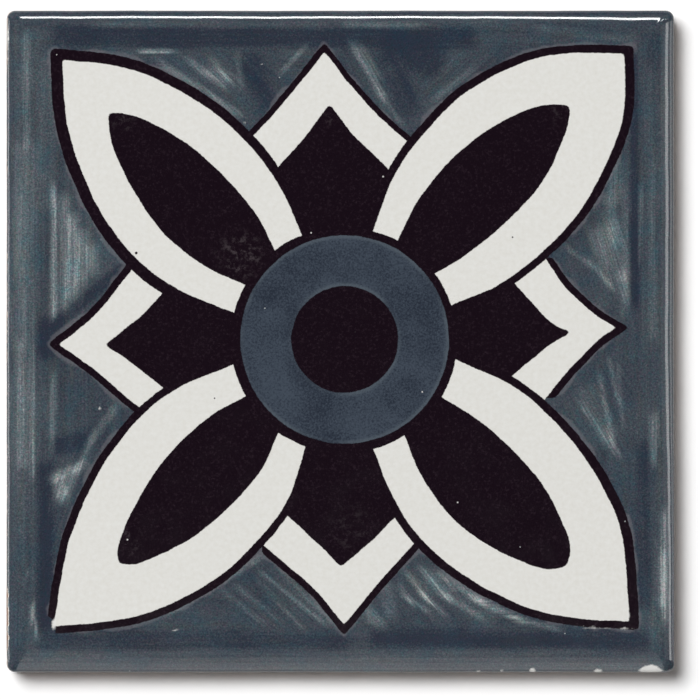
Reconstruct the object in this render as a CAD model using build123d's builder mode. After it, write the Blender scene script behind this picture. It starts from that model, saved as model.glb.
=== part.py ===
"""Hand-painted wall tile: one pressed clay body, glazed on its face.

The tile lies face up on its bed, the flat back that goes into the mortar.
X runs across the painted face, Y runs up it, and Z points out of it.
The origin is the middle of the bed.
"""
import os

from build123d import *

os.makedirs("parts", exist_ok=True)

# Outline, in millimetres
TILE_WIDTH = 105.9  # across the face, left to right
TILE_HEIGHT = 105.0  # across the face, bottom to top
TILE_THICKNESS = 6.5  # bed to face
CORNER_RADIUS = 1.3  # corners of the outline, seen from the front

# Cushion edge: the face rolls over into the sides in a quarter of an ellipse
CUSHION_INSET = 3.4  # how far the roll reaches in over the face
CUSHION_DROP = 1.5  # how far it falls below the face

# Bed: a lattice of flat ribs between shallow pockets that key into the mortar
BED_ARRIS = 0.4  # chamfer where the sides meet the bed
KEY_COUNT = 6  # pockets along each side
KEY_RIB = 4.0  # flat rib between two pockets
KEY_MARGIN = 7.0  # flat border round all the pockets
KEY_DEPTH = 0.9
KEY_DRAFT = 30.0  # slope of the pocket walls from upright, in degrees
KEY_CORNER_RADIUS = 2.0

side_height = TILE_THICKNESS - CUSHION_DROP
key_pitch_x = (TILE_WIDTH - 2 * KEY_MARGIN + KEY_RIB) / KEY_COUNT
key_pitch_y = (TILE_HEIGHT - 2 * KEY_MARGIN + KEY_RIB) / KEY_COUNT

with BuildPart() as tile:
    # Block with the rounded outline
    with BuildSketch():
        RectangleRounded(TILE_WIDTH, TILE_HEIGHT, CORNER_RADIUS)
    extrude(amount=TILE_THICKNESS)

    # Cushion edge: the block keeps what lies inside the section across the face and the one up it,
    # so that the four rolls meet in a mitre at each corner
    for plane, span, run in ((Plane.XZ, TILE_WIDTH, TILE_HEIGHT), (Plane.YZ, TILE_HEIGHT, TILE_WIDTH)):
        side = span / 2
        roll_start = side - CUSHION_INSET
        with BuildSketch(plane.offset(-run)):
            with BuildLine():
                Polyline((0, 0), (side, 0), (side, side_height))
                EllipticalCenterArc((roll_start, side_height), CUSHION_INSET, CUSHION_DROP, arc_size=90)
                Line((roll_start, TILE_THICKNESS), (0, TILE_THICKNESS))
                mirror(about=Plane.YZ)
            make_face()
        extrude(amount=2 * run, mode=Mode.INTERSECT)

    # Arris round the bed
    bed = tile.faces().sort_by(Axis.Z)[0]
    chamfer(bed.outer_wire().edges(), length=BED_ARRIS)

    # Mortar key pockets in the bed
    with BuildSketch():
        with GridLocations(key_pitch_x, key_pitch_y, KEY_COUNT, KEY_COUNT):
            RectangleRounded(key_pitch_x - KEY_RIB, key_pitch_y - KEY_RIB, KEY_CORNER_RADIUS)
    extrude(amount=KEY_DEPTH, taper=KEY_DRAFT, mode=Mode.SUBTRACT)

tile.part.label = "tile"
export_step(tile.part, "parts/tile.step")
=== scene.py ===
"""Dresses the hand-painted wall tile: its cushion edge, its brush-painted flower and its bare clay back.

Lengths are millimetres on the tile until the mesh is made, in the CAD frame: X across the face,
Y up the face, Z out of it, origin in the middle of the bed.
"""
import math

import bpy
import numpy as np
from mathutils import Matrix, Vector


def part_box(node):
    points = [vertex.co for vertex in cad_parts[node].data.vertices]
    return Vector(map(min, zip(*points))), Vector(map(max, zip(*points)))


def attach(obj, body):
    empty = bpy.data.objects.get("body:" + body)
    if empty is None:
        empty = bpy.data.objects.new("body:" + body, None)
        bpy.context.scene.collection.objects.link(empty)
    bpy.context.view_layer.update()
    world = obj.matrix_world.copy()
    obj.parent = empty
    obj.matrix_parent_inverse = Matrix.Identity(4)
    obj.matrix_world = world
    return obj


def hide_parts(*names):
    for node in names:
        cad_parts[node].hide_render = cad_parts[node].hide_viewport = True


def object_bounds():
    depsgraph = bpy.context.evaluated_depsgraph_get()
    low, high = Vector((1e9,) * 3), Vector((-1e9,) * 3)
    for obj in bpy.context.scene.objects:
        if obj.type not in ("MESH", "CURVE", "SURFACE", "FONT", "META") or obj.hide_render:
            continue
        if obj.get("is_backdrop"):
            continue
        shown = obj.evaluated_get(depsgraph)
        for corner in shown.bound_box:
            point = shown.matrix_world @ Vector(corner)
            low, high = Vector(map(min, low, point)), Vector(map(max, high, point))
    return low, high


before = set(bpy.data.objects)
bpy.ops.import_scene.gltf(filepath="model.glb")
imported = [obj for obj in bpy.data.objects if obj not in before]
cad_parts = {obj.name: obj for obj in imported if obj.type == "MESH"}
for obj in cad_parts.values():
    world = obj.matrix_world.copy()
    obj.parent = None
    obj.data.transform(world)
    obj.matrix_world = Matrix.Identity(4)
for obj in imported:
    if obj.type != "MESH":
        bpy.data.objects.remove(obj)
cad_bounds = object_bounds()

MM = 0.001

# Tile body, from the frame
tile_low, tile_high = (np.array(corner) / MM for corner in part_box("tile"))
HALF_WIDTH = (tile_high[0] - tile_low[0]) / 2
HALF_HEIGHT = (tile_high[1] - tile_low[1]) / 2
THICKNESS = tile_high[2] - tile_low[2]

# Cushion edge and outline
CORNER_RADIUS = 1.3
CUSHION_INSET = 3.4
CUSHION_DROP = 1.5
ROLL_CORNER_RADIUS = 0.4  # least corner radius of the roll, where it meets the face
CORNER_TIGHTENING = 0.5  # how fast the corner tightens on the way in from the outline
ROLL_RINGS = 14
RIGHT_TIGHTENING = 0.5  # how far the roll of the right side bulges outwards near the bottom
RIGHT_TIGHTENING_RUN = (0.0, -40.0)  # where along that side the bulge starts and is full
TOP_SLACKENING = 0.25  # how far the roll of the top side widens near the right
TOP_SLACKENING_RUN = (28.0, 48.0)  # where along that side this starts and is full
ROLL_WANDER = 0.26  # how far the glaze roll wanders in and out along the edge
ROLL_WANDER_LOSS = 0.75  # share of the wander that is gone where the roll meets the side
ROLL_WAVES = ((0.5, 11, 0.6), (0.3, 29, 2.1), (0.2, 67, 4.0))  # size, count round the tile, phase
SIDE_HEIGHT = THICKNESS - CUSHION_DROP
SIDE_RINGS = 4

# Bed with its mortar keys
BED_ARRIS = 0.4
KEY_COUNT = 6
KEY_RIB = 4.0
KEY_MARGIN = 7.0
KEY_DEPTH = 0.9
KEY_DRAFT = math.radians(30)
KEY_CORNER_RADIUS = 2.0

# Mesh density
CELL_STEPS = 6  # edges along one side of a key's cell
GRID_FINENESS = 7  # edges of the face for each edge of a key's cell
GRID_STEPS = KEY_COUNT * CELL_STEPS * GRID_FINENESS  # edges along one side of the face
GRID_INSET = 4.4  # the even grid of the face stops this far from the outline
SHARP_ANGLE = math.radians(40)  # edges of the mesh that turn by more than this stay sharp

# Hub of the flower: a black disc in a blue-grey ring with a black outline
HUB = np.array((0.7, 0.3))
HUB_LINE_CENTRE = HUB + np.array((-0.13, -0.12))
HUB_LINE_RADIUS = 17.9
HUB_RING_RADIUS = 16.5
HUB_DISC_RADIUS = 8.45

# Petals and points are drawn from the hub outwards. Each side of a shape is a smooth curve through its
# distances to the left and to the right of the shape's axis, at these distances from the hub.
PETAL_STATIONS = (15.9, 23.8, 31.7, 41.2, 50.8, 57.1)
LENS_STATIONS = (18.2, 23.8, 31.7, 39.7, 47.6)
POINT_STATIONS = (30.1, 34.9, 39.7)
DART_STATIONS = (27.8, 32.5)

# Each petal: where its axis aims, its sides, its tip (distance out, distance left), how wide its black
# line is near the hub and near the tip, and the black lens inside it
PETALS = {
    "upper_left": {
        "aim": (-45.5, 45.9),
        "left": (9.55, 12.75, 14.15, 12.95, 9.25, 5.25),
        "right": (6.9, 9.95, 11.35, 10.95, 8.25, 4.9),
        "tip": (63.05, -0.15),
        "left_line": (1.7, 1.8),
        "right_line": (1.38, 1.6),
        "lens_left": (5.25, 7.25, 8.2, 6.85, 4.05),
        "lens_right": (2.4, 4.25, 5.0, 4.5, 2.28),
        "lens_tip": (51.95, 0.7),
    },
    "upper_right": {
        "aim": (46.6, 46.4),
        "left": (9.3, 12.8, 14.15, 14.1, 11.1, 6.95),
        "right": (8.3, 11.35, 12.45, 12.05, 9.1, 5.75),
        "tip": (63.5, 0.55),
        "left_line": (1.25, 1.2),
        "right_line": (1.08, 1.4),
        "lens_left": (5.5, 7.3, 8.15, 7.3, 4.5),
        "lens_right": (2.95, 4.3, 5.0, 4.6, 1.85),
        "lens_tip": (51.6, 0.8),
    },
    "lower_right": {
        "aim": (46.6, -45.5),
        "left": (10.7, 13.6, 14.4, 13.5, 10.45, 5.95),
        "right": (9.4, 12.55, 13.9, 12.85, 9.5, 5.45),
        "tip": (63.6, 0.2),
        "left_line": (1.18, 1.5),
        "right_line": (1.3, 1.15),
        "lens_left": (4.6, 5.9, 6.4, 5.55, 2.62),
        "lens_right": (4.4, 6.65, 7.95, 6.85, 3.65),
        "lens_tip": (50.5, -0.5),
    },
    "lower_left": {
        "aim": (-45.4, -45.8),
        "left": (7.4, 11.5, 12.8, 12.45, 9.5, 5.9),
        "right": (10.0, 13.25, 14.3, 13.0, 9.65, 6.05),
        "tip": (64.8, -0.45),
        "left_line": (1.18, 1.12),
        "right_line": (1.15, 1.2),
        "lens_left": (3.1, 5.25, 5.85, 5.0, 2.25),
        "lens_right": (5.0, 6.5, 6.85, 5.6, 2.7),
        "lens_tip": (50.5, -0.2),
    },
}
LINE_RUN = (25.0, 58.0)  # where along a petal its line has its first and its second width

# Each point between two petals: a white chevron with a black line and a black dart inside it. The line
# ends at these distances to the left and right of the axis. On two of the points that is beside the petals.
POINTS = {
    "top": {
        "aim": (-2.3, 47.1), "left": (16.0, 10.55, 5.8), "right": (12.55, 7.85, 3.95), "tip": (45.77, 0.25),
        "line": (0.92, 0.85), "line_ends": (19.0, 19.0),
        "dart_left": (8.95, 4.15), "dart_right": (7.5, 3.3), "dart_tip": (37.45, 0.0),
    },
    "left": {
        "aim": (-46.2, -0.6), "left": (12.3, 8.4, 4.1), "right": (16.6, 10.05, 4.5), "tip": (45.35, -0.1),
        "line": (1.0, 1.1), "line_ends": (19.0, 19.0),
        "dart_left": (8.1, 4.05), "dart_right": (8.8, 4.15), "dart_tip": (38.0, 0.1),
    },
    "bottom": {
        "aim": (1.0, -46.1), "left": (13.05, 8.55, 4.25), "right": (15.9, 10.4, 4.95), "tip": (45.35, -0.4),
        "line": (1.05, 1.0), "line_ends": (12.2, 13.5),
        "dart_left": (8.25, 3.4), "dart_right": (9.3, 4.25), "dart_tip": (35.95, -0.9),
    },
    "right": {
        "aim": (45.2, 2.3), "left": (15.6, 7.45, 2.35), "right": (12.3, 6.9, 2.35), "tip": (43.15, -0.05),
        "line": (1.0, 1.1), "line_ends": (11.7, 10.9),
        "dart_left": (7.1, 1.5), "dart_right": (5.75, 2.3), "dart_tip": (35.95, -0.45),
    },
}
# The lines at the lower left petal's tip don't meet: no line is drawn in this gap
LINE_GAP = {"centre": (-46.7, -45.3), "half_sizes": (1.4, 1.5)}

# How round the brush left the corner of each shape, where its two sides meet
TIP_ROUNDING = {
    "petal": 0.8, "petal_line": 1.6, "lens": 1.6, "point": 0.6, "point_line": 1.2, "dart": 1.2,
}

# Distances are kept between these, so that two neighbouring shapes never run together
DEEP_INSIDE = -2.0
OUTSIDE = 9.0

POINT_ROOT = 10.0  # a point starts under the petals, this far from the hub
POINT_HALF_SPREAD = 19.0  # and reaches no farther to each side

# Brush strokes in the blue-grey wash, and a few bands of painted highlight and shade on the roll:
# from, to, half width, and how much paler or darker it is there
STROKES_AND_ROLL_LIGHT = (
    # whole borders
    ((-50.0, 47.5), (-50.2, -47.0), 2.2, 0.08),
    ((49.9, 42.0), (49.9, -46.0), 2.0, 0.08),
    # left border
    ((-49.8, 47.8), (-49.5, 31.9), 0.6, 0.25),
    ((-50.0, 30.4), (-50.2, 0.2), 1.6, 0.18),
    ((-46.5, 44.0), (-46.5, 22.0), 1.0, 0.1),
    ((-46.4, 2.6), (-46.5, -1.4), 1.3, -0.25),
    ((-50.5, -1.4), (-50.3, -18.8), 0.8, 0.25),
    ((-48.7, -2.2), (-48.6, -20.4), 0.3, 0.3),
    ((-49.2, -22.0), (-49.2, -38.0), 0.2, 0.3),
    ((-49.2, -38.0), (-48.2, -45.6), 0.2, 0.5),
    ((-46.8, -20.4), (-46.7, -44.2), 1.1, -0.25),
    # between the left point and the upper left petal
    ((-45.4, 23.5), (-45.4, 4.5), 0.4, 0.46),
    ((-43.9, 22.0), (-43.9, 6.0), 1.0, 0.27),
    ((-42.4, 19.0), (-42.4, 8.0), 1.0, 0.29),
    ((-40.9, 16.5), (-40.9, 10.0), 1.0, 0.29),
    ((-39.3, 14.2), (-39.2, 11.8), 0.9, 0.28),
    ((-44.4, 3.1), (-35.2, 11.0), 0.8, -0.2),
    # between the left point and the lower left petal
    ((-45.4, -6.4), (-45.6, -16.5), 0.4, 0.25),
    ((-45.2, -21.6), (-41.2, -19.8), 0.7, 0.25),
    ((-44.8, -21.8), (-44.0, -24.5), 1.0, 0.25),
    ((-42.6, -20.4), (-44.0, -24.0), 0.8, 0.25),
    ((-44.4, -16.4), (-40.5, -15.6), 1.3, -0.2),
    ((-36.2, -11.2), (-39.4, -15.6), 0.6, 0.25),
    ((-39.4, -15.6), (-42.9, -23.6), 0.5, 0.2),
    # between the top point and the upper left petal
    ((-30.6, 45.9), (-27.5, 45.9), 0.3, 0.5),
    ((-27.8, 43.7), (-16.7, 36.4), 0.5, 0.35),
    ((-23.0, 43.9), (-19.1, 40.7), 0.4, 0.3),
    ((-20.6, 42.6), (-18.4, 41.9), 0.9, 0.22),
    ((-19.8, 44.0), (-17.7, 41.6), 0.4, 0.28),
    ((-16.2, 44.4), (-15.8, 41.4), 0.4, 0.22),
    ((-8.6, 43.4), (-6.2, 46.0), 0.4, 0.28),
    ((-14.3, 43.8), (-11.1, 36.7), 1.6, -0.15),
    # between the top point and the upper right petal
    ((2.2, 46.5), (6.6, 39.2), 0.5, 0.4),
    ((3.5, 46.5), (5.7, 42.7), 0.5, 0.25),
    ((6.3, 39.1), (9.5, 34.8), 0.4, 0.2),
    ((15.8, 39.1), (20.5, 42.6), 0.5, 0.14),
    ((7.9, 46.2), (15.0, 44.3), 2.2, -0.2),
    ((9.5, 41.5), (11.1, 36.7), 1.6, -0.15),
    # top border
    # painted shade: a dark line along the top edge of the roll, where it mirrors little light
    ((-50.0, 52.35), (50.0, 52.35), 0.35, -0.15),
    ((-30.0, 48.2), (20.0, 48.0), 1.4, -0.2),
    ((-44.4, 48.6), (-31.8, 48.1), 1.3, -0.2),
    ((-38.1, 50.2), (-3.2, 50.0), 0.5, 0.1),
    ((1.6, 50.2), (11.9, 50.0), 0.6, 0.2),
    ((32.5, 49.4), (46.0, 47.8), 0.6, 0.15),
    # right border
    ((46.4, 44.6), (46.6, 6.6), 0.6, -0.2),
    ((47.6, 23.2), (47.4, 13.7), 0.3, 0.25),
    ((49.5, 27.2), (49.6, 1.8), 0.3, 0.15),
    ((49.8, -12.5), (49.6, -18.5), 0.5, 0.3),
    ((48.2, -17.2), (48.2, -41.0), 1.1, -0.2),
    # partly brush streak, partly painted highlight: a pale band on the right roll near the bottom
    ((51.4, -28.3), (51.5, -43.4), 0.5, 0.4),
    ((50.9, -34.7), (50.9, -41.0), 0.5, 0.3),
    # between the right point and the upper right petal
    ((43.5, 27.5), (44.0, 23.0), 1.1, 0.2),
    ((42.2, 17.5), (43.8, 10.5), 2.0, 0.24),
    ((42.6, 22.5), (43.4, 16.2), 0.9, 0.2),
    ((40.5, 16.5), (42.0, 13.0), 1.0, 0.15),
    ((44.5, 9.8), (45.4, 6.5), 0.6, 0.2),
    ((45.2, 20.0), (45.4, 8.0), 0.5, 0.2),
    ((44.0, 8.6), (44.9, 5.2), 0.6, 0.15),
    ((40.0, 12.2), (42.4, 9.2), 0.35, 0.3),
    ((36.8, 14.2), (39.0, 12.4), 0.3, 0.25),
    # between the right point and the lower right petal
    ((42.8, -3.7), (43.8, -8.5), 0.3, 0.3),
    ((41.2, -6.1), (43.1, -15.6), 0.4, 0.25),
    ((38.8, -10.9), (43.6, -17.4), 0.5, 0.22),
    ((44.1, -4.9), (44.7, -12.5), 0.3, 0.2),
    ((39.0, -8.5), (42.0, -15.0), 2.0, 0.13),
    # between the bottom point and the lower left petal
    ((-13.5, -34.7), (-27.0, -42.9), 0.5, 0.3),
    ((-11.9, -37.1), (-3.2, -44.2), 0.3, 0.3),
    ((-12.4, -38.6), (-6.4, -45.0), 0.3, 0.2),
    ((-15.5, -39.5), (-10.5, -43.5), 0.35, 0.2),
    ((-17.5, -40.5), (-13.0, -44.0), 0.35, 0.2),
    ((-9.5, -36.3), (-1.6, -44.2), 0.4, 0.25),
    # between the bottom point and the lower right petal
    ((13.5, -36.6), (17.0, -40.5), 0.4, 0.26),
    ((17.0, -40.5), (21.7, -43.4), 0.4, 0.26),
    ((11.3, -37.7), (13.5, -40.5), 0.35, 0.28),
    ((13.5, -40.5), (16.0, -42.7), 0.35, 0.28),
    ((9.9, -39.4), (11.0, -40.9), 0.35, 0.3),
    ((11.0, -40.9), (13.1, -42.3), 0.35, 0.3),
    ((7.0, -39.0), (8.0, -42.5), 0.9, 0.2),
    ((12.0, -36.5), (17.0, -39.5), 1.2, 0.12),
    ((16.5, -37.2), (22.0, -41.0), 0.5, 0.3),
    ((14.5, -38.5), (24.0, -42.8), 2.0, 0.1),
    ((22.0, -41.0), (28.0, -43.9), 0.55, 0.3),
    ((28.0, -43.9), (34.0, -45.5), 0.4, 0.3),
    ((4.0, -42.5), (6.0, -44.5), 0.8, 0.25),
    # ring
    ((-10.5, -8.0), (-12.0, 4.0), 3.0, 0.06),
    ((-4.0, 12.5), (6.0, 12.5), 3.0, -0.05),
    ((11.5, -7.5), (9.0, -10.0), 3.0, -0.05),
    # bottom border
    ((-46.0, -47.4), (0.0, -47.4), 1.3, -0.14),
    ((6.3, -47.0), (47.6, -47.4), 1.4, -0.2),
)
WASH_BASE = 0.2  # how pale the wash is where no stroke ran
STROKE_CORE = 0.4  # a stroke is full up to this share of its half width
STROKE_FRINGE = 1.8  # and gone at this one
STROKE_END = 2.5  # and it dies out over this length at both ends

# Places where the wash runs right up to the outlines, without their pale border: centre and reach
CLOSE_WASH = (((48.0, 40.5), 6.5),)
CLOSE_WASH_CORE = 0.7  # share of the reach where there is no border at all

# Which way the brush ran in each gusset between a petal and a point: a place in it, a reach, and an angle
# from X in degrees
BRUSH_PATCHES = (
    ((-42.0, 14.0), 9.0, 90),
    ((-43.0, -24.0), 9.0, 72),
    ((-18.0, 42.0), 9.0, -45),
    ((6.0, 42.0), 7.0, -60),
    ((20.0, 43.0), 8.0, 40),
    ((43.0, 13.0), 8.0, -72),
    ((43.0, -11.0), 8.0, -60),
    ((-8.0, -40.0), 8.0, -42),
    ((13.0, -40.0), 9.0, -50),
)
BRUSH_BORDER = 6.5  # nearer to the outline than this, the brush ran along the sides

# Scuffs in the black, where it is thin and grey: centre, reach and strength
SCUFFS = (
    ((-15.8, 13.6), 5.0, 1.0),
    ((-34.5, 35.2), 2.6, 0.7),
    ((-1.6, 35.2), 1.8, 0.5),
    ((34.8, 36.5), 3.0, 0.5),
    ((-33.6, -31.6), 3.0, 0.7),
    ((2.0, -30.0), 6.0, 0.35),
)
SCUFF_CORE = 0.3  # share of the reach where a scuff is full

# Stray dots from the brush on the white, and pinholes in the black: centre, radius
BLACK_DOTS = (((-32.3, 14.0), 0.22), ((27.3, 16.5), 0.13), ((-19.9, -9.0), 0.12))
WHITE_DOTS = (
    ((-44.9, 45.4), 0.08),
    ((-4.6, 17.2), 0.12),
    ((6.8, 26.1), 0.13),
    ((-33.7, -31.4), 0.13),
    ((18.6, -25.5), 0.12),
    ((13.0, -8.0), 0.12),
)
DOT_SOFTNESS = 0.06  # half the soft width of a dot's edge

# Height above the bed at which the glaze ends: on most sides, along the left side, and along a worn
# stretch of it
GLAZE_END = 3.9
GLAZE_END_LEFT = 5.12
GLAZE_END_WORN = 5.5
WORN_STRETCH = (-48.5, -39.0)
WORN_BLEND = 1.0  # the worn stretch starts and ends over this distance to each side
LEFT_BLEND = (0.5, 2.5)  # how far from the left side its own height starts to change, and is gone

# Bare spots, where the paint missed the white glaze or chipped off, and one painted highlight: centre, half
# sizes and tilt in degrees
SPOT_FOOT = 5.5  # height below which a spot on the roll dies out
SPOT_FADE = 0.7  # and how fast
SPOT_POWER = 1.4  # 2 would make the spots round, 1 diamond-shaped
BARE_SPOTS_AND_GLINT = (
    ((49.2, -52.5), (2.3, 1.35), 0),
    ((40.8, -52.5), (0.85, 0.8), 0),
    ((30.5, -52.5), (0.65, 0.85), 0),
    ((25.6, -52.5), (0.3, 0.5), 0),
    ((22.0, -52.5), (0.5, 0.5), 0),
    ((-45.3, -44.8), (0.4, 1.1), -10),
    ((45.7, -43.4), (0.3, 0.7), 0),
    # painted highlight: a white streak on the upper left edge, where the roll mirrors light
    ((-52.75, 48.6), (0.2, 2.2), 0),
    ((-29.2, 45.9), (0.8, 0.1), 0),
    ((-26.0, -45.7), (0.6, 0.14), 8),
    ((-38.1, -10.6), (0.3, 0.3), 0),
    ((39.6, -45.3), (2.4, 0.18), -2),
    ((45.1, -45.55), (1.3, 0.2), -3),
    ((-12.4, 43.9), (0.2, 0.2), 0),
    ((-15.1, 34.6), (0.25, 0.3), 0),
)


def signed_distance(places, curve, inside):
    """Distance of each place to an open curve, negative on the side where the point inside lies.

    The curve's first and last stretches count as running on without end.
    """
    first, last = curve[:-1], curve[1:]
    nearest = np.full(len(places), np.inf)
    sign = np.ones(len(places))
    for number, (start, end) in enumerate(zip(first, last)):
        run = end - start
        along = (places - start) @ run / (run @ run)
        low = -np.inf if number == 0 else 0.0
        high = np.inf if number == len(first) - 1 else 1.0
        offset = places - start - np.clip(along, low, high)[:, None] * run
        distance = np.hypot(offset[:, 0], offset[:, 1])
        cross = run[0] * (places[:, 1] - start[1]) - run[1] * (places[:, 0] - start[0])
        closer = distance < nearest - 1e-9
        nearest = np.where(closer, distance, nearest)
        sign = np.where(closer, np.sign(cross), sign)
    middle = np.argmin(np.hypot(*(first - inside).T))
    run = last[middle] - first[middle]
    wanted = np.sign(run[0] * (inside[1] - first[middle][1]) - run[1] * (inside[0] - first[middle][0]))
    return -nearest * sign * wanted


def smooth_curve(knots, steps=10):
    """A smooth curve through the knots, as a fine run of points (Catmull-Rom)."""
    knots = np.array(knots, float)
    padded = np.vstack((2 * knots[0] - knots[1], knots, 2 * knots[-1] - knots[-2]))
    share = np.linspace(0, 1, steps, endpoint=False)[:, None]
    stretches = []
    for before, start, end, after in zip(padded, padded[1:], padded[2:], padded[3:]):
        bend = 2 * before - 5 * start + 4 * end - after
        twist = 3 * start - before - 3 * end + after
        stretches.append(start + 0.5 * share * ((end - before) + share * (bend + share * twist)))
    return np.vstack(stretches + [knots[-1:]])


def leaf_distances(places, aim, stations, left, right, tip):
    """Signed distances to the left and the right side of a leaf shape drawn from the hub towards aim.

    The other two values are how far each place lies along that axis, and to the left of it.
    """
    axis = np.array(aim) - HUB
    axis /= np.hypot(*axis)
    across = np.array((-axis[1], axis[0]))
    middle = len(stations) // 2
    inside = HUB + axis * stations[middle] + across * (left[middle] - right[middle]) / 2
    result = []
    for side, offsets in ((1, left), (-1, right)):
        knots = [(station, side * offset) for station, offset in zip(stations, offsets)] + [tip]
        curve = smooth_curve(knots)
        curve = HUB + curve[:, :1] * axis + curve[:, 1:] * across
        result.append(signed_distance(places, curve, inside))
    reach = (places - HUB) @ axis
    offset = (places - HUB) @ across
    return *result, reach, offset


def paint_distances(places):
    """Signed distances, negative inside, to the left and right sides of the painted shapes at each place.

    At each place the values belong to the nearest shape of a kind. A place is inside where both are negative.
    """
    nothing = np.full(len(places), OUTSIDE)
    shapes = {name: (nothing, nothing) for name in TIP_ROUNDING}

    def add(name, left, right, ends):
        left, right = np.maximum(left, ends), np.maximum(right, ends)
        kept_left, kept_right = shapes[name]
        closer = np.maximum(left, right) < np.maximum(kept_left, kept_right)
        shapes[name] = (np.where(closer, left, kept_left), np.where(closer, right, kept_right))

    for petal in PETALS.values():
        left, right, reach, _ = leaf_distances(
            places, petal["aim"], PETAL_STATIONS, petal["left"], petal["right"], petal["tip"])
        add("petal", left, right, -reach)
        share = np.clip((reach - LINE_RUN[0]) / (LINE_RUN[1] - LINE_RUN[0]), 0, 1)
        lines = (petal["left_line"], petal["right_line"])
        left_line, right_line = (near + (far - near) * share for near, far in lines)
        add("petal_line", left - left_line, right - right_line, -reach)
        left, right, reach, _ = leaf_distances(
            places, petal["aim"], LENS_STATIONS, petal["lens_left"], petal["lens_right"], petal["lens_tip"])
        add("lens", left, right, -reach)
    for point in POINTS.values():
        left, right, reach, offset = leaf_distances(
            places, point["aim"], POINT_STATIONS, point["left"], point["right"], point["tip"])
        ends = np.maximum(POINT_ROOT - reach, np.abs(offset) - POINT_HALF_SPREAD)
        add("point", left, right, ends)
        line_ends = np.maximum(offset - point["line_ends"][0], -offset - point["line_ends"][1])
        line_ends = np.maximum(POINT_ROOT - reach, line_ends)
        add("point_line", left - point["line"][0], right - point["line"][1], line_ends)
        left, right, _, _ = leaf_distances(
            places, point["aim"], DART_STATIONS, point["dart_left"], point["dart_right"], point["dart_tip"])
        add("dart", left, right, ends)
    gap = np.hypot(*((places - np.array(LINE_GAP["centre"])) / LINE_GAP["half_sizes"]).T)
    gap = (1 - gap) * min(LINE_GAP["half_sizes"])
    shapes["petal_line"] = tuple(np.maximum(side, gap) for side in shapes["petal_line"])
    return shapes


def bare_and_glint_distance(places, heights):
    """Signed distance, negative inside, to the nearest bare spot or painted highlight. Spots on the roll end
    above the side.
    """
    nearest = np.full(len(places), OUTSIDE)
    below = np.maximum(SPOT_FOOT - heights, 0) / SPOT_FADE
    for centre, half_sizes, tilt in BARE_SPOTS_AND_GLINT:
        turn = math.radians(tilt)
        offset = places - np.array(centre)
        along = (offset[:, 0] * math.cos(turn) + offset[:, 1] * math.sin(turn)) / half_sizes[0]
        across = (offset[:, 1] * math.cos(turn) - offset[:, 0] * math.sin(turn)) / half_sizes[1]
        reach = (np.abs(along) ** SPOT_POWER + np.abs(across) ** SPOT_POWER) ** (1 / SPOT_POWER) + below
        nearest = np.minimum(nearest, (reach - 1) * min(half_sizes))
    return nearest


def smooth_step(low, high, value):
    """A smooth step of value from 0 at low to 1 at high."""
    share = np.clip((value - low) / (high - low), 0, 1)
    return share * share * (3 - 2 * share)


def wash_lightness(places):
    """How pale the wash is at each place: the base, brush strokes, and painted highlight and shade on the
    roll.
    """
    lightness = np.full(len(places), WASH_BASE)
    for start, end, half_width, change in STROKES_AND_ROLL_LIGHT:
        start, end = np.array(start), np.array(end)
        run = end - start
        length = np.hypot(*run)
        along = (places - start) @ run / length
        offset = np.abs((places - start) @ np.array((-run[1], run[0])) / length)
        past = np.maximum(np.maximum(-along, along - length), 0)
        body = 1 - smooth_step(STROKE_CORE * half_width, STROKE_FRINGE * half_width, offset)
        ends = 1 - smooth_step(0.0, STROKE_END, past)
        lightness += change * body * ends
    return lightness


def border_strength(places):
    """How strong the pale border along the outlines is at each place."""
    strength = np.ones(len(places))
    for centre, reach in CLOSE_WASH:
        distance = np.hypot(*(places - np.array(centre)).T)
        strength = np.minimum(strength, smooth_step(CLOSE_WASH_CORE * reach, reach, distance))
    return strength


def scuff_strength(places):
    """How scuffed the black is at each place."""
    strength = np.zeros(len(places))
    for centre, reach, amount in SCUFFS:
        distance = np.hypot(*(places - np.array(centre)).T)
        strength = np.maximum(strength, amount * (1 - smooth_step(SCUFF_CORE * reach, reach, distance)))
    return strength


def glaze_end(places):
    """Height at which the glaze ends at each place: it stops short along the left side."""
    left = 1 - smooth_step(*LEFT_BLEND, places[:, 0] + HALF_WIDTH)
    worn = smooth_step(-WORN_BLEND, WORN_BLEND, places[:, 1] - WORN_STRETCH[0])
    worn *= smooth_step(-WORN_BLEND, WORN_BLEND, WORN_STRETCH[1] - places[:, 1])
    on_left = GLAZE_END_LEFT + (GLAZE_END_WORN - GLAZE_END_LEFT) * worn
    return GLAZE_END + (on_left - GLAZE_END) * left


def brush_coordinates(places):
    """Coordinates along and across the brush, which ran along the borders and as told in each patch."""
    edge_x = HALF_WIDTH - np.abs(places[:, 0])
    edge_y = HALF_HEIGHT - np.abs(places[:, 1])
    angle = np.where(edge_x < edge_y, math.radians(90), 0.0)
    for centre, reach, degrees in BRUSH_PATCHES:
        near = np.hypot(*(places - np.array(centre)).T) < reach
        angle = np.where(near & (np.minimum(edge_x, edge_y) > BRUSH_BORDER), math.radians(degrees), angle)
    along = places[:, 0] * np.cos(angle) + places[:, 1] * np.sin(angle)
    across = places[:, 1] * np.cos(angle) - places[:, 0] * np.sin(angle)
    return along, across


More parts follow.
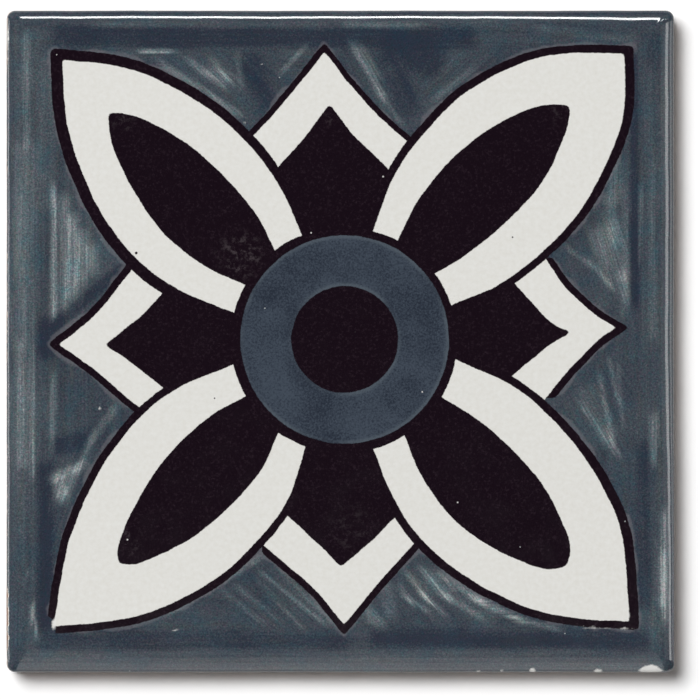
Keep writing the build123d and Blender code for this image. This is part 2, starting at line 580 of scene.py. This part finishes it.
def ring(half_x, half_y, radius, steps):
    """A closed ring of points round a rectangle with rounded corners, counter-clockwise.

    It starts at the lower left corner. Rings with the same steps match point for point, and the corner
    points lie in the middle of the corner arcs.
    """
    share = np.linspace(-1, 1, steps, endpoint=False)
    sides = []
    for turn, (run, out) in enumerate(((half_x, half_y), (half_y, half_x)) * 2):
        along = share * run
        over = np.maximum(np.abs(along) - (run - radius), 0) / max(radius, 1e-6)
        angle = over * math.pi / 4
        straight = np.sign(along) * (run - radius + radius * np.sin(angle))
        along = np.where(over > 0, straight, along)
        depth = np.where(over > 0, out - radius + radius * np.cos(angle), out)
        cosine, sine = round(math.cos(turn * math.pi / 2)), round(math.sin(turn * math.pi / 2))
        sides.append(np.column_stack((along * cosine + depth * sine, along * sine - depth * cosine)))
    return np.vstack(sides)


def edge_wander(steps):
    """A gentle wander from 0 to 1 along the four sides, the same each time."""
    turn = np.linspace(0, 2 * math.pi, 4 * steps, endpoint=False)
    waves = sum(size * np.sin(count * turn + phase) for size, count, phase in ROLL_WAVES)
    return 0.5 + 0.5 * waves


def build_mesh():
    """The tile as one closed mesh. Returns its points in millimetres, its faces, and each face's zone."""
    points, faces, zones = [], [], []

    def add_points(plan, height):
        first = len(points)
        heights = np.broadcast_to(height, len(plan))
        points.extend((x, y, z) for (x, y), z in zip(plan.tolist(), heights.tolist()))
        return list(range(first, len(points)))

    def join(before, after, zone):
        count = len(before)
        for i in range(count):
            j = (i + 1) % count
            faces.append((before[i], after[i], after[j], before[j]))
            zones.append(zone)

    # Face: an even grid
    grid_x, grid_y = HALF_WIDTH - GRID_INSET, HALF_HEIGHT - GRID_INSET
    share = np.linspace(-1, 1, GRID_STEPS + 1)
    across, up = np.meshgrid(share * grid_x, share * grid_y)
    grid = np.array(add_points(np.column_stack((across.ravel(), up.ravel())), THICKNESS))
    grid = grid.reshape(GRID_STEPS + 1, GRID_STEPS + 1)
    quads = np.stack((grid[:-1, :-1], grid[:-1, 1:], grid[1:, 1:], grid[1:, :-1]), axis=-1)
    faces.extend(map(tuple, quads.reshape(-1, 4).tolist()))
    zones.extend(["face"] * GRID_STEPS * GRID_STEPS)
    before = [*grid[0, :-1], *grid[:-1, -1], *grid[-1, :0:-1], *grid[:0:-1, 0]]
    before = [int(index) for index in before]

    # Cushion edge: rings that roll over a quarter of an ellipse
    wander = edge_wander(GRID_STEPS)[:, None]
    for step in range(ROLL_RINGS + 1):
        angle = step / ROLL_RINGS * math.pi / 2
        inset = CUSHION_INSET * (1 - math.sin(angle))
        radius = max(CORNER_RADIUS - CORNER_TIGHTENING * inset, ROLL_CORNER_RADIUS)
        plan = ring(HALF_WIDTH - inset, HALF_HEIGHT - inset, radius, GRID_STEPS)
        pull = ROLL_WANDER * wander * (1 - ROLL_WANDER_LOSS * step / ROLL_RINGS) * math.sin(angle)
        plan = plan - pull * plan / np.abs(plan).max(axis=1, keepdims=True)
        tighter = smooth_step(*RIGHT_TIGHTENING_RUN, plan[:, 1]) * (plan[:, 0] > np.abs(plan[:, 1]))
        plan[:, 0] += RIGHT_TIGHTENING * tighter * math.sin(math.pi * step / ROLL_RINGS)
        slacker = smooth_step(*TOP_SLACKENING_RUN, plan[:, 0]) * (plan[:, 1] > np.abs(plan[:, 0]))
        plan[:, 1] -= TOP_SLACKENING * slacker * math.sin(math.pi * step / ROLL_RINGS)
        plan[:, 0] = np.minimum(plan[:, 0], HALF_WIDTH)
        after = add_points(plan, SIDE_HEIGHT + CUSHION_DROP * math.cos(angle))
        join(before, after, "face")
        before = after

    # Sides and arris
    outline = ring(HALF_WIDTH, HALF_HEIGHT, CORNER_RADIUS, GRID_STEPS)
    for step in range(1, SIDE_RINGS + 1):
        after = add_points(outline, SIDE_HEIGHT + (BED_ARRIS - SIDE_HEIGHT) * step / SIDE_RINGS)
        join(before, after, "side")
        before = after
    bed = ring(HALF_WIDTH - BED_ARRIS, HALF_HEIGHT - BED_ARRIS, CORNER_RADIUS - BED_ARRIS / 2, GRID_STEPS)
    after = add_points(bed, 0.0)
    join(before, after, "side")
    bed_ring = after

    # Bed: the margin, then a cell for each key pocket
    pitch_x = (2 * HALF_WIDTH - 2 * KEY_MARGIN + KEY_RIB) / KEY_COUNT
    pitch_y = (2 * HALF_HEIGHT - 2 * KEY_MARGIN + KEY_RIB) / KEY_COUNT
    lattice = {}
    lattice_steps = KEY_COUNT * CELL_STEPS

    def cell_place(column, row):
        return np.array(((column - KEY_COUNT / 2) * pitch_x, (row - KEY_COUNT / 2) * pitch_y))

    def lattice_point(i, j):
        if (i, j) not in lattice:
            lattice[i, j] = add_points(cell_place(i / CELL_STEPS, j / CELL_STEPS)[None], 0.0)[0]
        return lattice[i, j]

    def lattice_ring(i, j, size):
        bottom = [(i + k, j) for k in range(size)]
        right = [(i + size, j + k) for k in range(size)]
        top = [(i + size - k, j + size) for k in range(size)]
        left = [(i, j + size - k) for k in range(size)]
        return [lattice_point(*place) for place in bottom + right + top + left]

    block = lattice_ring(0, 0, lattice_steps)
    ratio = len(bed_ring) // len(block)
    for i in range(len(block)):
        j = (i + 1) % len(block)
        outer = [bed_ring[(ratio * i + k) % len(bed_ring)] for k in range(ratio, 0, -1)]
        faces.append((bed_ring[ratio * i], block[i], block[j], *outer))
        zones.append("bed")
    half_x, half_y = (pitch_x - KEY_RIB) / 2, (pitch_y - KEY_RIB) / 2
    floor_inset = KEY_DEPTH * math.tan(KEY_DRAFT)
    floor_radius = KEY_CORNER_RADIUS - floor_inset
    mouth_plan = ring(half_x, half_y, KEY_CORNER_RADIUS, CELL_STEPS)
    floor_plan = ring(half_x - floor_inset, half_y - floor_inset, floor_radius, CELL_STEPS)
    for column in range(KEY_COUNT):
        for row in range(KEY_COUNT):
            middle = cell_place(column + 0.5, row + 0.5)
            mouth = add_points(middle + mouth_plan, 0.0)
            floor = add_points(middle + floor_plan, KEY_DEPTH)
            join(lattice_ring(column * CELL_STEPS, row * CELL_STEPS, CELL_STEPS), mouth, "bed")
            join(mouth, floor, "bed")
            faces.append(tuple(reversed(floor)))
            zones.append("bed")
    return np.array(points), faces, np.array(zones)


def add_attribute(mesh, name, values):
    """Keeps one number for each point of the mesh, for the material to read."""
    layer = mesh.attributes.new(name, "FLOAT", "POINT")
    layer.data.foreach_set("value", np.ascontiguousarray(values, dtype=np.float32))


points, faces, zones = build_mesh()
places = points[:, :2]

mesh = bpy.data.meshes.new("painted_tile")
mesh.from_pydata((points * MM).tolist(), [], faces)
mesh.polygons.foreach_set("use_smooth", np.ones(len(faces), dtype=bool))
mesh.set_sharp_from_angle(angle=SHARP_ANGLE)

# Paint on the mesh: distances in millimetres, and strengths
for name, sides in paint_distances(places).items():
    for side, distance in zip(("left", "right"), sides):
        add_attribute(mesh, f"{name}_{side}", np.clip(distance, DEEP_INSIDE, OUTSIDE))
# bare spots, and the painted highlight on the upper left edge
add_attribute(mesh, "bare", np.clip(bare_and_glint_distance(places, points[:, 2]), DEEP_INSIDE, OUTSIDE))
add_attribute(mesh, "hub", np.hypot(*(places - HUB).T))
add_attribute(mesh, "hub_line", np.hypot(*(places - HUB_LINE_CENTRE).T))
add_attribute(mesh, "wash", wash_lightness(places))
brush_along, brush_across = brush_coordinates(places)
add_attribute(mesh, "brush_along", brush_along)
add_attribute(mesh, "brush_across", brush_across)
add_attribute(mesh, "scuff", scuff_strength(places))
add_attribute(mesh, "border", border_strength(places))
add_attribute(mesh, "above_glaze_end", points[:, 2] - glaze_end(places))

# Map for baking: the face takes most of the square, the sides lie in strips beside it, the bed in the corner
FACE_SHARE = 0.93
MAP_MARGIN = 0.003  # left free round the face
STRIP_GAP = 0.004  # from the face to the first strip
STRIP_WIDTH = 0.028
STRIP_PITCH = 0.032
STRIP_LENGTH = 0.92
BED_GAP = 0.005  # from the face to the bed
BED_SHARE = 0.06
uv = mesh.uv_layers.new(name="OFBake")
corner_points = np.zeros(len(mesh.loops), dtype=np.int32)
mesh.loops.foreach_get("vertex_index", corner_points)
sizes = np.zeros(len(faces), dtype=np.int32)
mesh.polygons.foreach_get("loop_total", sizes)
corner_zone = np.repeat(zones, sizes)
unit = ((places / (HALF_WIDTH, HALF_HEIGHT) + 1) / 2)[corner_points]
level = points[corner_points, 2] / THICKNESS
normals = np.zeros(len(faces) * 3)
mesh.polygons.foreach_get("normal", normals)
corner_normal = np.repeat(normals.reshape(-1, 3), sizes, axis=0)
face_map = MAP_MARGIN + (FACE_SHARE - 2 * MAP_MARGIN) * unit
upright = np.abs(corner_normal[:, 0]) > np.abs(corner_normal[:, 1])
second = np.where(upright, corner_normal[:, 0] > 0, corner_normal[:, 1] > 0)
across_strip = FACE_SHARE + STRIP_GAP + second * STRIP_PITCH + STRIP_WIDTH * level
along_strip = MAP_MARGIN + STRIP_LENGTH * unit
side_map = np.where(
    upright[:, None],
    np.column_stack((across_strip, along_strip[:, 1])),
    np.column_stack((along_strip[:, 0], across_strip)),
)
bed_map = FACE_SHARE + BED_GAP + BED_SHARE * unit
on_face = (corner_zone == "face")[:, None]
on_bed = (corner_zone == "bed")[:, None]
chosen = np.where(on_face, face_map, np.where(on_bed, bed_map, side_map))
uv.data.foreach_set("uv", chosen.astype(np.float32).ravel())

tile = bpy.data.objects.new("painted_tile", mesh)
bpy.context.scene.collection.objects.link(tile)
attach(tile, "root")
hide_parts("tile")


# Colours, as 8-bit screen values
WASH_TONES = ((0.0, (40, 47, 60)), (0.3, (68, 76, 83)), (0.6, (101, 110, 114)), (1.0, (172, 178, 178)))
PALE_BORDER = (132, 128, 133)
WHITE_DULL, WHITE_BRIGHT = (213, 211, 204), (229, 229, 226)
BLACK_DEEP, BLACK_SPECK, BLACK_SCUFFED = (17, 4, 15), (36, 24, 33), (74, 66, 70)
RING_DARK, RING_PALE, RING_RIM = (36, 43, 55), (64, 73, 85), (92, 102, 110)
BARE_AND_GLINT_WHITE = (226, 225, 222)
PINHOLE = (190, 195, 195)
BLACK_DOT, WHITE_DOT = (40, 30, 36), (200, 198, 196)
GLAZE_RIM = (186, 180, 172)
CLAY_DARK, CLAY_PALE, CLAY_PATCH = (112, 88, 76), (172, 146, 130), (150, 118, 102)
CLAY_DRAG, CLAY_PIT = (104, 80, 68), (92, 72, 62)

# Tints of the wash, as factors for red, green and blue: those drawn out along the brush, and those in specks,
# each with the specks' noise scale
STREAK_TINTS = ((0.92, 1.02, 1.03), (1.07, 0.98, 1.02), (1.06, 1.02, 0.94))
SPECK_TINTS = (
    (260, (0.84, 1.02, 1.06)),
    (2700, (0.74, 1.08, 1.04)),
    (3100, (1.32, 0.92, 1.08)),
    (4300, (1.3, 1.3, 1.25)),
    (4700, (0.74, 0.74, 0.74)),
)

# Noises drawn out along the brush: how often they change in a millimetre along it and across it
HAIR_STRETCH = (0.09, 3.2)
BAND_STRETCH = (0.035, 0.6)
TINT_STRETCH = (0.12, 0.9)
BAND_LAYER = 4.0  # slices of the noise, so that no two are alike
TINT_LAYER = 7

# How much the bands, clouds and mottling change the wash
BAND_STRENGTH = 0.3
CLOUD_STRENGTH = 0.25
MOTTLE_STRENGTH = 0.75

EDGE = 0.07  # half the soft width of a painted edge
WHITE_SHRINK = 0.08  # the black lines swell this far over the white
SLOW_WANDER = 0.35  # how far the hand wanders along a painted edge
FAST_WANDER = 0.2  # how far it trembles
BORDER_REACH = 0.62  # greatest width of the pale border along the outlines
BORDER_EDGE = 0.24  # half the soft width of its edge
BORDER_STRENGTH = 0.26
RING_MIDDLE = (HUB_RING_RADIUS + HUB_DISC_RADIUS) / 2
RING_HALF = (HUB_RING_RADIUS - HUB_DISC_RADIUS) / 2
SPOT_TEAR = 0.7  # how ragged the edge of a bare spot is
SPOT_EDGE = (0.12, -0.28)  # distances where a bare spot starts and where it is full
GLAZE_RAGGED = 0.8  # how far the end of the glaze runs up and down
GLAZE_CRUMBS = 0.8  # how far it crumbles
CLAY_ROUGHNESS = 0.85
GLAZE_ROUGHNESS = (0.07, 0.13)
GLAZE_IOR = 1.5
BUMP_STRENGTH = 0.5
BUMP_HEIGHT = 0.15


def linear(colour):
    """A colour given as 8-bit screen values, for a shader."""
    values = (channel / 255 for channel in colour)
    return (*(v / 12.92 if v <= 0.04045 else ((v + 0.055) / 1.055) ** 2.4 for v in values), 1.0)


class Nodes:
    """Short calls for building one material's nodes. An input may be a number or another node's output."""

    def __init__(self, material):
        self.tree = material.node_tree
        self.bsdf = self.tree.nodes["Principled BSDF"]

    def new(self, kind):
        return self.tree.nodes.new(f"ShaderNode{kind}")

    def put(self, socket, value):
        if isinstance(value, bpy.types.NodeSocket):
            self.tree.links.new(value, socket)
        else:
            socket.default_value = value

    def math(self, operation, *values):
        node = self.new("Math")
        node.operation = operation
        for socket, value in zip(node.inputs, values):
            self.put(socket, value)
        return node.outputs[0]

    def sum(self, first, *others):
        """All the values added up."""
        for other in others:
            first = self.math("ADD", first, other)
        return first

    def swing(self, noise, reach):
        """A noise from 0 to 1, turned into one about 0 that is as wide as reach."""
        return self.math("MULTIPLY", self.math("SUBTRACT", noise, 0.5), reach)

    def attribute(self, name):
        node = self.new("Attribute")
        node.attribute_name = name
        return node.outputs["Fac"]

    def vector(self, x, y, z):
        node = self.new("CombineXYZ")
        for socket, value in zip(node.inputs, (x, y, z)):
            self.put(socket, value)
        return node.outputs[0]

    def noise(self, vector, scale, detail=2.0, roughness=0.5):
        node = self.new("TexNoise")
        self.put(node.inputs["Vector"], vector)
        node.inputs["Scale"].default_value = scale
        node.inputs["Detail"].default_value = detail
        node.inputs["Roughness"].default_value = roughness
        return node.outputs["Fac"]

    def cells(self, vector, scale):
        """The distance to the nearest cell's middle, and a chance from 0 to 1 that each cell has."""
        node = self.new("TexVoronoi")
        self.put(node.inputs["Vector"], vector)
        node.inputs["Scale"].default_value = scale
        channels = self.new("SeparateColor")
        self.put(channels.inputs[0], node.outputs["Color"])
        return node.outputs["Distance"], channels.outputs[0]

    def dot(self, vector, centre, radius):
        """1 inside a small round dot on the face, 0 outside."""
        node = self.new("VectorMath")
        node.operation = "DISTANCE"
        self.put(node.inputs[0], vector)
        node.inputs[1].default_value = (centre[0] * MM, centre[1] * MM, THICKNESS * MM)
        return self.step(node.outputs["Value"], (radius + DOT_SOFTNESS) * MM, (radius - DOT_SOFTNESS) * MM)

    def step(self, value, low, high, start=0.0, end=1.0):
        """A smooth step of value from start at low to end at high."""
        node = self.new("MapRange")
        node.interpolation_type = "SMOOTHSTEP"
        self.put(node.inputs["Value"], value)
        for name, number in (("From Min", low), ("From Max", high), ("To Min", start), ("To Max", end)):
            self.put(node.inputs[name], number)
        return node.outputs["Result"]

    def mix(self, share, first, second, blend="MIX"):
        node = self.new("Mix")
        node.data_type = "RGBA"
        node.blend_type = blend
        self.put(node.inputs["Factor"], share)
        self.put(node.inputs[6], first)
        self.put(node.inputs[7], second)
        return node.outputs[2]

    def tinted(self, share, colour, factors):
        """The colour with its channels multiplied by the factors, as far as share says."""
        return self.mix(share, colour, (*factors, 1.0), "MULTIPLY")

    def ramp(self, value, stops):
        node = self.new("ValToRGB")
        elements = node.color_ramp.elements
        while len(elements) < len(stops):
            elements.new(1.0)
        for element, (position, colour) in zip(elements, stops):
            element.position = position
            element.color = linear(colour)
        self.put(node.inputs["Fac"], value)
        return node.outputs["Color"]


def wash_colour(n, place, outline, cloud, mottle):
    """The blue-grey wash: pale where the brush left little paint, with streaks along its run and mottling."""
    along, across = n.attribute("brush_along"), n.attribute("brush_across")

    def drawn_out(stretch, layer):
        return n.vector(n.math("MULTIPLY", along, stretch[0]), n.math("MULTIPLY", across, stretch[1]), layer)

    hair = n.noise(drawn_out(HAIR_STRETCH, 0.0), scale=1.0, detail=3.0, roughness=0.65)
    band = n.noise(drawn_out(BAND_STRETCH, BAND_LAYER), scale=1.0)
    # this lightness also holds the painted highlight and shade on the roll
    base = n.attribute("wash")
    hair_strength = n.step(base, low=0.25, high=0.6, start=0.25, end=0.9)
    streaks = n.sum(n.swing(hair, hair_strength), n.swing(band, BAND_STRENGTH))
    wash = n.sum(base, streaks, n.swing(cloud, CLOUD_STRENGTH), n.swing(mottle, MOTTLE_STRENGTH))
    colour = n.ramp(wash, WASH_TONES)
    for layer, factors in enumerate(STREAK_TINTS, start=1):
        tint = n.noise(drawn_out(TINT_STRETCH, TINT_LAYER * layer), scale=1.0, detail=3.0, roughness=0.6)
        colour = n.tinted(n.step(tint, low=0.48, high=0.68), colour, factors)
    for scale, factors in SPECK_TINTS:
        colour = n.tinted(n.step(n.noise(place, scale), low=0.5, high=0.7), colour, factors)

    # The pale border along the outlines, where the wash stops short of them
    width = n.math("MULTIPLY", n.math("SUBTRACT", n.noise(place, scale=170, detail=3.0), 0.45), 4.0)
    width = n.math("MINIMUM", width, BORDER_REACH)
    border = n.step(n.math("SUBTRACT", outline, width), BORDER_EDGE, -BORDER_EDGE, end=BORDER_STRENGTH)
    border = n.math("MULTIPLY", border, n.attribute("border"))
    return n.mix(border, colour, linear(PALE_BORDER))


def black_colour(n, place):
    """The black, with fine specks and a few scuffs where it is thin."""
    speck = n.step(n.noise(place, scale=2400, detail=3.0, roughness=0.7), low=0.5, high=0.72)
    patchy = n.step(n.noise(place, scale=900, detail=5.0, roughness=0.75), low=0.5, high=0.66)
    scuff = n.math("MULTIPLY", n.attribute("scuff"), patchy)
    colour = n.mix(speck, linear(BLACK_DEEP), linear(BLACK_SPECK))
    return n.mix(n.math("MULTIPLY", scuff, 0.65), colour, linear(BLACK_SCUFFED))


def ring_colour(n, hub, cloud, mottle):
    """The blue-grey ring round the disc, a little paler along its two rims."""
    tone = n.sum(n.math("MULTIPLY_ADD", mottle, 0.45, 0.1), n.math("MULTIPLY", cloud, 0.35))
    tone = n.sum(tone, n.math("SUBTRACT", n.attribute("wash"), WASH_BASE))
    colour = n.mix(n.step(tone, low=0.4, high=0.6), linear(RING_DARK), linear(RING_PALE))
    from_middle = n.math("ABSOLUTE", n.math("SUBTRACT", hub, RING_MIDDLE))
    rim = n.step(from_middle, low=RING_HALF - 0.75, high=RING_HALF - 0.2)
    rim = n.math("MULTIPLY", rim, n.step(cloud, low=0.4, high=0.6, start=0.08, end=0.4))
    return n.mix(rim, colour, linear(RING_RIM))


def painted_colour(n, place):
    """The painted face: the shapes one over the other, then its bare spots, a painted highlight, pinholes and
    stray dots.
    """
    slow = n.swing(n.noise(place, scale=300), SLOW_WANDER)
    fast = n.swing(n.noise(place, scale=2000), FAST_WANDER)
    wander = n.sum(slow, fast)

    def inside(distance):
        return n.step(n.sum(distance, wander), EDGE, -EDGE)

    shape = {name: n.attribute(name) for name in ("bare", "hub", "hub_line")}
    for name, rounding in TIP_ROUNDING.items():
        sides = (n.attribute(f"{name}_{side}") for side in ("left", "right"))
        shape[name] = n.math("SMOOTH_MAX", *sides, rounding)

    cloud = n.noise(place, scale=90, detail=3.0)
    mottle = n.noise(place, scale=3200, detail=2.0, roughness=0.8)
    outline = n.math("MINIMUM", shape["petal_line"], shape["point_line"])
    white = n.mix(n.noise(place, scale=1400, detail=4.0), linear(WHITE_DULL), linear(WHITE_BRIGHT))
    black = black_colour(n, place)
    ring_tone = ring_colour(n, shape["hub"], cloud, mottle)
    colour = wash_colour(n, place, outline, cloud, mottle)
    for distance, paint in (
        (shape["point_line"], black),
        (n.sum(shape["point"], WHITE_SHRINK), white),
        (shape["dart"], black),
        (shape["petal_line"], black),
        (n.sum(shape["petal"], WHITE_SHRINK), white),
        (shape["lens"], black),
        (n.math("SUBTRACT", shape["hub_line"], HUB_LINE_RADIUS), black),
        (n.math("SUBTRACT", shape["hub"], HUB_RING_RADIUS), ring_tone),
        (n.math("SUBTRACT", shape["hub"], HUB_DISC_RADIUS), black),
    ):
        colour = n.mix(inside(distance), colour, paint)

    # bare spots in white, and the painted highlight on the upper left edge
    torn = n.swing(n.noise(place, scale=1100, detail=3.0, roughness=0.6), SPOT_TEAR)
    colour = n.mix(n.step(n.sum(shape["bare"], torn), *SPOT_EDGE), colour, linear(BARE_AND_GLINT_WHITE))
    distance, chance = n.cells(place, scale=420)
    pinhole = n.math("MULTIPLY", n.step(distance, low=0.06, high=0.03), n.step(chance, low=0.93, high=0.95))
    colour = n.mix(n.math("MULTIPLY", pinhole, 0.7), colour, linear(PINHOLE))
    for dots, paint in ((BLACK_DOTS, BLACK_DOT), (WHITE_DOTS, WHITE_DOT)):
        for centre, radius in dots:
            colour = n.mix(n.dot(place, centre, radius), colour, linear(paint))
    return colour


def clay_colour(n, place):
    """The bare clay with its drag marks and pits. Returns the colour, and the height of its grain."""
    colour = n.mix(n.noise(place, scale=500, detail=5.0, roughness=0.7), linear(CLAY_DARK), linear(CLAY_PALE))
    colour = n.mix(n.step(n.noise(place, scale=60), low=0.4, high=0.7), colour, linear(CLAY_PATCH))
    squash = n.new("Mapping")
    n.put(squash.inputs["Vector"], place)
    squash.inputs["Scale"].default_value = (0.12, 0.12, 2.2)
    drag = n.noise(squash.outputs[0], scale=900, detail=3.0, roughness=0.6)
    colour = n.mix(n.step(drag, low=0.52, high=0.7, end=0.45), colour, linear(CLAY_DRAG))
    distance, chance = n.cells(place, scale=700)
    reach = n.math("MULTIPLY", n.noise(place, scale=1700), 0.55)
    pit = n.step(n.math("SUBTRACT", distance, reach), low=0.06, high=-0.06)
    pit = n.math("MULTIPLY", pit, n.step(chance, low=0.7, high=0.75))
    colour = n.mix(n.math("MULTIPLY", pit, 0.35), colour, linear(CLAY_PIT))
    grain = n.sum(n.noise(place, scale=1500, detail=4.0, roughness=0.7), n.math("MULTIPLY", drag, 0.8))
    grain = n.math("SUBTRACT", grain, n.math("MULTIPLY", pit, 0.9))
    return colour, grain


def paint_material():
    """The glaze with its paint, which ends raggedly a little way down the sides, over bare clay."""
    material = bpy.data.materials.new("painted_glaze")
    material.use_nodes = True
    n = Nodes(material)
    place = n.new("TexCoord").outputs["Object"]

    ragged = n.swing(n.noise(place, scale=120, detail=3.0), GLAZE_RAGGED)
    crumbs = n.swing(n.noise(place, scale=900), GLAZE_CRUMBS)
    above = n.sum(n.attribute("above_glaze_end"), n.sum(ragged, crumbs))
    glazed = n.step(above, low=-0.06, high=0.06)
    painted = n.step(above, low=0.08, high=0.2)
    clay, grain = clay_colour(n, place)
    colour = n.mix(painted, linear(GLAZE_RIM), painted_colour(n, place))
    n.put(n.bsdf.inputs["Base Color"], n.mix(glazed, clay, colour))

    gloss = n.step(n.noise(place, scale=260, detail=3.0), 0.35, 0.7, *GLAZE_ROUGHNESS)
    rough = n.new("Mix")
    n.put(rough.inputs[0], glazed)
    n.put(rough.inputs[2], CLAY_ROUGHNESS)
    n.put(rough.inputs[3], gloss)
    n.put(n.bsdf.inputs["Roughness"], rough.outputs[0])
    n.bsdf.inputs["IOR"].default_value = GLAZE_IOR

    grain = n.math("MULTIPLY", grain, n.math("SUBTRACT", 1.0, glazed))
    ripple = n.math("MULTIPLY", n.noise(place, scale=180), n.math("MULTIPLY", glazed, 0.25))
    bump = n.new("Bump")
    bump.inputs["Strength"].default_value = BUMP_STRENGTH
    bump.inputs["Distance"].default_value = BUMP_HEIGHT * MM
    n.put(bump.inputs["Height"], n.sum(grain, ripple))
    n.put(n.bsdf.inputs["Normal"], bump.outputs[0])
    return material


mesh.materials.append(paint_material())

# Floor: plain and white, in metres
FLOOR_HALF = 3.0
FLOOR_LEVEL = -0.00005  # just under the bed, so that the two never share a plane
floor_mesh = bpy.data.meshes.new("floor")
corners = [(FLOOR_HALF * x, FLOOR_HALF * y, FLOOR_LEVEL) for x, y in ((-1, -1), (1, -1), (1, 1), (-1, 1))]
floor_mesh.from_pydata(corners, [], [(0, 1, 2, 3)])
floor = bpy.data.objects.new("floor", floor_mesh)
bpy.context.scene.collection.objects.link(floor)
floor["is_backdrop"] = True
floor_material = bpy.data.materials.new("white_floor")
floor_material.use_nodes = True
floor_bsdf = floor_material.node_tree.nodes["Principled BSDF"]
floor_bsdf.inputs["Base Color"].default_value = (1.0, 1.0, 1.0, 1.0)
floor_bsdf.inputs["Roughness"].default_value = 1.0
floor_bsdf.inputs["Specular IOR Level"].default_value = 0.0
floor_mesh.materials.append(floor_material)


def area_light(name, azimuth, elevation, distance, size, radiance):
    """A flat lamp that faces the tile. Azimuth is counted from +X, radiance is what the tile sees of it."""
    turn, rise = math.radians(azimuth), math.radians(elevation)
    lamp = bpy.data.lights.new(name, "AREA")
    lamp.shape = "RECTANGLE"
    lamp.size, lamp.size_y = size
    lamp.energy = radiance * math.pi * size[0] * size[1]
    holder = bpy.data.objects.new(name, lamp)
    direction = np.array((math.cos(rise) * math.cos(turn), math.cos(rise) * math.sin(turn), math.sin(rise)))
    holder.location = direction * distance
    holder.rotation_euler = (math.pi / 2 - rise, 0, turn + math.pi / 2)
    bpy.context.scene.collection.objects.link(holder)
    return holder


# Each lamp: name, azimuth, elevation, distance and size in metres, radiance. A soft key lights the colours
# and casts the shadow, and a faint fill faces it.
LAMPS = (
    ("key", 133, 61, 4.0, (1.9, 1.9), 15.8),
    ("fill", -47, 66, 4.0, (1.6, 1.6), 1.0),
)
# The glaze mirrors these panels, which light nothing else
PANELS = (
    ("top_strip", 90, 41, 2.0, (0.4, 0.29), 30.0),
    ("right_strip", 0, 42, 2.0, (0.5, 0.5), 5.0),
    ("right_panel", 0, 40, 2.0, (0.6, 1.8), 0.5),
    ("corner_spark", 45, 45, 2.0, (0.2, 0.3), 9.0),
    ("bottom_panel_edge", -90, 12, 2.0, (0.6, 0.8), 1.8),
    ("bottom_panel_low", -90, 38, 2.0, (0.6, 1.0), 0.6),
    ("bottom_panel_middle", -90, 45, 2.0, (0.6, 1.8), 0.6),
    ("bottom_panel_high", -90, 52, 2.0, (0.6, 2.6), 0.6),
    ("left_strip", 180, 4, 2.0, (0.5, 0.2), 10.0),
    ("right_low_strip", 0, 12, 2.0, (0.5, 0.7), 2.6),
)
for lamp in LAMPS:
    area_light(*lamp).visible_glossy = False
for panel in PANELS:
    area_light(*panel).visible_diffuse = False

WORLD_STRENGTH = 0.08
world = bpy.data.worlds.new("studio")
world.use_nodes = True
background = world.node_tree.nodes["Background"]
background.inputs["Color"].default_value = (1.0, 1.0, 1.0, 1.0)
background.inputs["Strength"].default_value = WORLD_STRENGTH
bpy.context.scene.world = world
bpy.context.scene.view_settings.view_transform = "Standard"

# Camera: straight above, framed as in the photograph
PHOTO_SIDE = 700.0
PIXELS_PER_MM = 6.304
PHOTO_CENTRE_OF_TILE = (340.2, 341.4)
LENS = 300.0
SENSOR_WIDTH = 36.0
camera_data = bpy.data.cameras.new("camera")
camera_data.lens = LENS
camera_data.sensor_width = SENSOR_WIDTH
frame_width = PHOTO_SIDE / PIXELS_PER_MM * MM
camera = bpy.data.objects.new("camera", camera_data)
camera.location = (
    (PHOTO_SIDE / 2 - PHOTO_CENTRE_OF_TILE[0]) / PIXELS_PER_MM * MM,
    (PHOTO_CENTRE_OF_TILE[1] - PHOTO_SIDE / 2) / PIXELS_PER_MM * MM,
    frame_width * LENS / SENSOR_WIDTH + SIDE_HEIGHT * MM,
)
bpy.context.scene.collection.objects.link(camera)
bpy.context.scene.camera = camera

final_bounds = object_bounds()
sides = {"cad": cad_bounds, "dressed": final_bounds}
